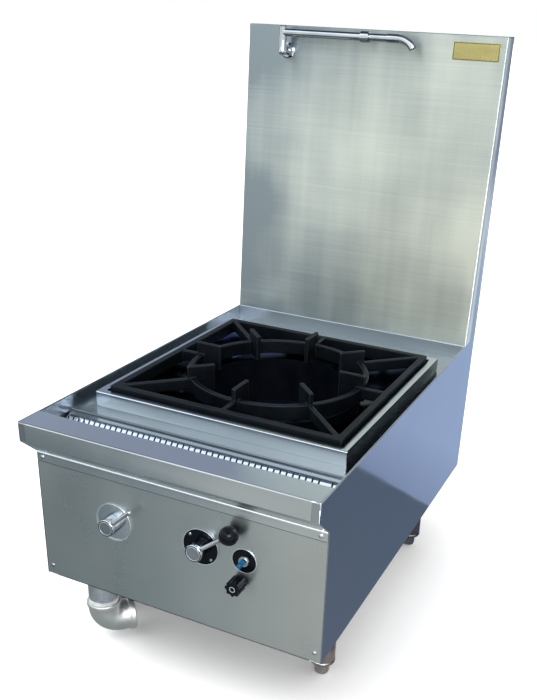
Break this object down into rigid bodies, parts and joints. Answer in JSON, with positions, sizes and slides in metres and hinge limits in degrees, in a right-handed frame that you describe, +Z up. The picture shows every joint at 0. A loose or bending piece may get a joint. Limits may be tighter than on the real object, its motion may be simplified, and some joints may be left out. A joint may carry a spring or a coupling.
{
  "type": "stockpot range",
  "caption": "Low gas stockpot range with a cast trivet over a drum burner, a tall splash back with a swing spout, and a drained front gutter.",
  "frame": {"origin": "floor point under the middle of the whole", "axes": "+Z up, the front with the taps faces -Y, +X to the right as seen from the front"},
  "size_m": [0.6, 0.9126, 1.171],
  "materials": {
    "stainless": "satin brushed stainless sheet",
    "bright_stainless": "bright brushed stainless",
    "chrome": "polished chrome",
    "galvanised": "dull zinc or bare tube",
    "cast_steel": "cast stainless, slightly rough",
    "soot_steel": "heat-blackened sheet",
    "cast_iron": "black cast iron, satin",
    "black_plastic": "gloss black",
    "brass": "machined brass",
    "gold_plate": "satin gold, bare",
    "copper": "drawn copper",
    "blue_plastic": "gloss blue",
    "lead_rubber": "silicone-sheathed lead",
    "ceramic": "glazed ceramic with a steel rod"
  },
  "bodies": {
    "range_body": {"side_panel_left": "stainless", "side_panel_right": "stainless", "back_panel": "stainless", "front_panel": "stainless", "head_rail": "stainless", "deck": "stainless", "pot_curb": "stainless", "rear_upstand": "stainless", "gutter_trough": "stainless", "splash_front": "stainless", "splash_back": "stainless", "spill_pan": "bright_stainless", "panel_screws": "chrome", "water_escutcheon": "chrome", "faucet_flange": "chrome", "faucet_body": "chrome", "igniter_body": "chrome", "base_frame": "galvanised", "leg_front_left": "galvanised", "leg_front_right": "galvanised", "leg_rear_left": "galvanised", "leg_rear_right": "galvanised", "splash_brackets": "galvanised", "gas_manifold": "galvanised", "water_inlet_pipe": "galvanised", "burner_support": "galvanised", "drain_pipe": "galvanised", "drain_elbow": "cast_steel", "burner_drum": "soot_steel", "burner_base": "cast_iron", "burner_cap": "cast_iron", "gas_escutcheon": "black_plastic", "igniter_disc": "black_plastic", "gas_valve_body": "brass", "water_valve_body": "brass", "pilot_valve_body": "brass", "gas_injector": "brass", "pilot_burner": "brass", "badge_plate": "gold_plate", "gas_feed_pipe": "copper", "pilot_tube": "copper", "water_riser_pipe": "copper", "spark_lead": "lead_rubber", "spark_electrode": "ceramic"},
    "trivet": {"trivet_frame": "cast_iron", "trivet_ring": "cast_iron", "trivet_arms": "cast_iron"},
    "gutter_strainer": {"gutter_strainer": "bright_stainless"},
    "gas_lever": {"gas_lever": "chrome", "gas_lever_ball": "black_plastic"},
    "water_lever": {"water_lever": "chrome"},
    "pilot_knob": {"pilot_knob": "black_plastic"},
    "igniter_button": {"igniter_button": "blue_plastic"},
    "faucet_arm": {"faucet_pipe": "chrome", "faucet_spout": "chrome"},
    "air_shutter": {"air_shutter": "galvanised"},
    "foot_front_left": {"foot_front_left": "galvanised"},
    "foot_front_right": {"foot_front_right": "galvanised"},
    "foot_rear_left": {"foot_rear_left": "galvanised"},
    "foot_rear_right": {"foot_rear_right": "galvanised"}
  },
  "joints": [
    {"name": "trivet_lift", "type": "slide", "parent": "range_body", "child": "trivet", "axis": [0, 0, 1], "range_m": [0, 0.2]},
    {"name": "strainer_lift", "type": "slide", "parent": "range_body", "child": "gutter_strainer", "axis": [0, 0, 1], "range_m": [0, 0.15]},
    {"name": "gas_lever_turn", "type": "hinge", "parent": "range_body", "child": "gas_lever", "pos_m": [0.0566, -0.43375, 0.3336], "axis": [0, -1, 0], "range_deg": [0, 90]},
    {"name": "water_lever_turn", "type": "hinge", "parent": "range_body", "child": "water_lever", "pos_m": [-0.1299, -0.43375, 0.3295], "axis": [0, -1, 0], "range_deg": [0, 90]},
    {"name": "pilot_knob_turn", "type": "hinge", "parent": "range_body", "child": "pilot_knob", "pos_m": [0.1385, -0.43175, 0.289], "axis": [0, -1, 0], "range_deg": [0, 270]},
    {"name": "igniter_press", "type": "slide", "parent": "range_body", "child": "igniter_button", "axis": [0, 1, 0], "range_m": [0, 0.007], "stiffness_N_per_m": 600},
    {"name": "faucet_swing", "type": "hinge", "parent": "range_body", "child": "faucet_arm", "pos_m": [-0.199, 0.37725, 1.15], "axis": [0, 0, -1], "range_deg": [0, 180]},
    {"name": "air_shutter_turn", "type": "hinge", "parent": "range_body", "child": "air_shutter", "pos_m": [0.0566, -0.20175, 0.3336], "axis": [0, 1, 0], "range_deg": [0, 90]},
    {"name": "foot_front_left_adjust", "type": "slide", "parent": "range_body", "child": "foot_front_left", "axis": [0, 0, -1], "range_m": [0, 0.02]},
    {"name": "foot_front_right_adjust", "type": "slide", "parent": "range_body", "child": "foot_front_right", "axis": [0, 0, -1], "range_m": [0, 0.02]},
    {"name": "foot_rear_left_adjust", "type": "slide", "parent": "range_body", "child": "foot_rear_left", "axis": [0, 0, -1], "range_m": [0, 0.02]},
    {"name": "foot_rear_right_adjust", "type": "slide", "parent": "range_body", "child": "foot_rear_right", "axis": [0, 0, -1], "range_m": [0, 0.02]}
  ]
}
